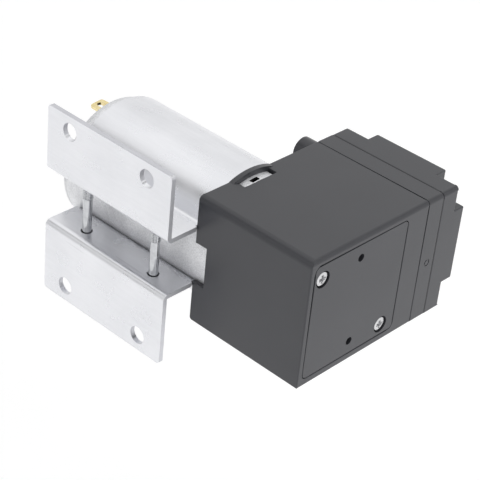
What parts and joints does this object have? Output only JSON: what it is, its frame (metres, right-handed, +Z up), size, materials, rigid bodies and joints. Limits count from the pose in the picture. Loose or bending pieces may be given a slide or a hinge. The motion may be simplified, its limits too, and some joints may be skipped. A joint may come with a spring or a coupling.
{
  "type": "mini vacuum pump",
  "caption": "Small motor-driven diaphragm vacuum pump with a sheet-metal clamp bracket, plastic crankcase, layered pump head and hose nozzles.",
  "frame": {"origin": "centre of the four mounting holes, on the outer face of the two mounting plates", "axes": "+X along the motor towards the crankcase cover, +Y from the mounting plates to the pump head, +Z up as in the picture"},
  "size_m": [0.0995, 0.0744, 0.0596],
  "materials": {
    "zinc_sheet": "smooth zinc-plated sheet, satin",
    "zinc_fastener": "bright zinc plating",
    "bright_screw": "polished nickel plating",
    "motor_steel": "zinc-plated drawn steel, finely speckled",
    "endcap_plastic": "matt moulded plastic",
    "terminal_brass": "bright brass strip",
    "carbon": "pressed carbon",
    "bronze": "machined bronze",
    "ferrite": "sintered ferrite",
    "case_plastic": "satin moulded plastic",
    "cover_plastic": "satin moulded plastic",
    "head_plastic": "satin moulded plastic",
    "diaphragm_rubber": "moulded rubber",
    "gasket_rubber": "soft sheet rubber",
    "ground_steel": "ground steel",
    "core_steel": "stacked laminations",
    "copper_wire": "copper",
    "washer_plastic": "fibre washer",
    "rod_aluminium": "die-cast aluminium"
  },
  "bodies": {
    "pump": {"clamp_band": "zinc_sheet", "clamp_screws": "zinc_fastener", "clamp_nuts": "zinc_fastener", "motor_can": "motor_steel", "motor_endcap": "endcap_plastic", "terminals": "terminal_brass", "brushes": "carbon", "brush_arms": "terminal_brass", "rear_bearing": "bronze", "front_bearing": "bronze", "magnets": "ferrite", "motor_mount_screws": "zinc_fastener", "crankcase": "case_plastic", "crankcase_cover": "cover_plastic", "cover_screws": "bright_screw", "diaphragm": "diaphragm_rubber", "valve_block": "head_plastic", "head_gasket": "gasket_rubber", "head_cover": "head_plastic", "head_screws": "zinc_fastener"},
    "rotor": {"motor_shaft": "ground_steel", "armature_core": "core_steel", "windings": "copper_wire", "commutator": "copper_wire", "shaft_washers": "washer_plastic", "eccentric": "bronze", "eccentric_set_screw": "ground_steel", "bearing_inner_ring": "ground_steel", "bearing_balls": "ground_steel"},
    "rod": {"connecting_rod": "rod_aluminium", "bearing_outer_ring": "ground_steel", "diaphragm_retainer": "rod_aluminium", "retainer_screw": "zinc_fastener"},
    "inlet_valve": {"inlet_flap": "gasket_rubber"},
    "outlet_valve": {"outlet_flap": "gasket_rubber"}
  },
  "joints": [
    {"name": "motor_spin", "type": "hinge", "parent": "pump", "child": "rotor", "pos_m": [0, 0.03, 0], "axis": [1, 0, 0], "continuous": true, "deforming": ["diaphragm"]},
    {"name": "rod_circling", "type": "hinge", "parent": "rotor", "child": "rod", "pos_m": [0.04345, 0.0285, 0], "axis": [1, 0, 0], "continuous": true},
    {"name": "inlet_flap_lift", "type": "hinge", "parent": "pump", "child": "inlet_valve", "pos_m": [0.03915, 0.06185, -0.0055], "axis": [0, 0, -1], "range_deg": [0, 6], "stiffness_Nm_per_rad": 0.0001},
    {"name": "outlet_flap_lift", "type": "hinge", "parent": "pump", "child": "outlet_valve", "pos_m": [0.03915, 0.06285, 0.0055], "axis": [0, 0, 1], "range_deg": [0, 12], "stiffness_Nm_per_rad": 0.0001}
  ],
  "couplings": [
    {"joint": "rod_circling", "follows": "motor_spin", "ratio": -1}
  ]
}
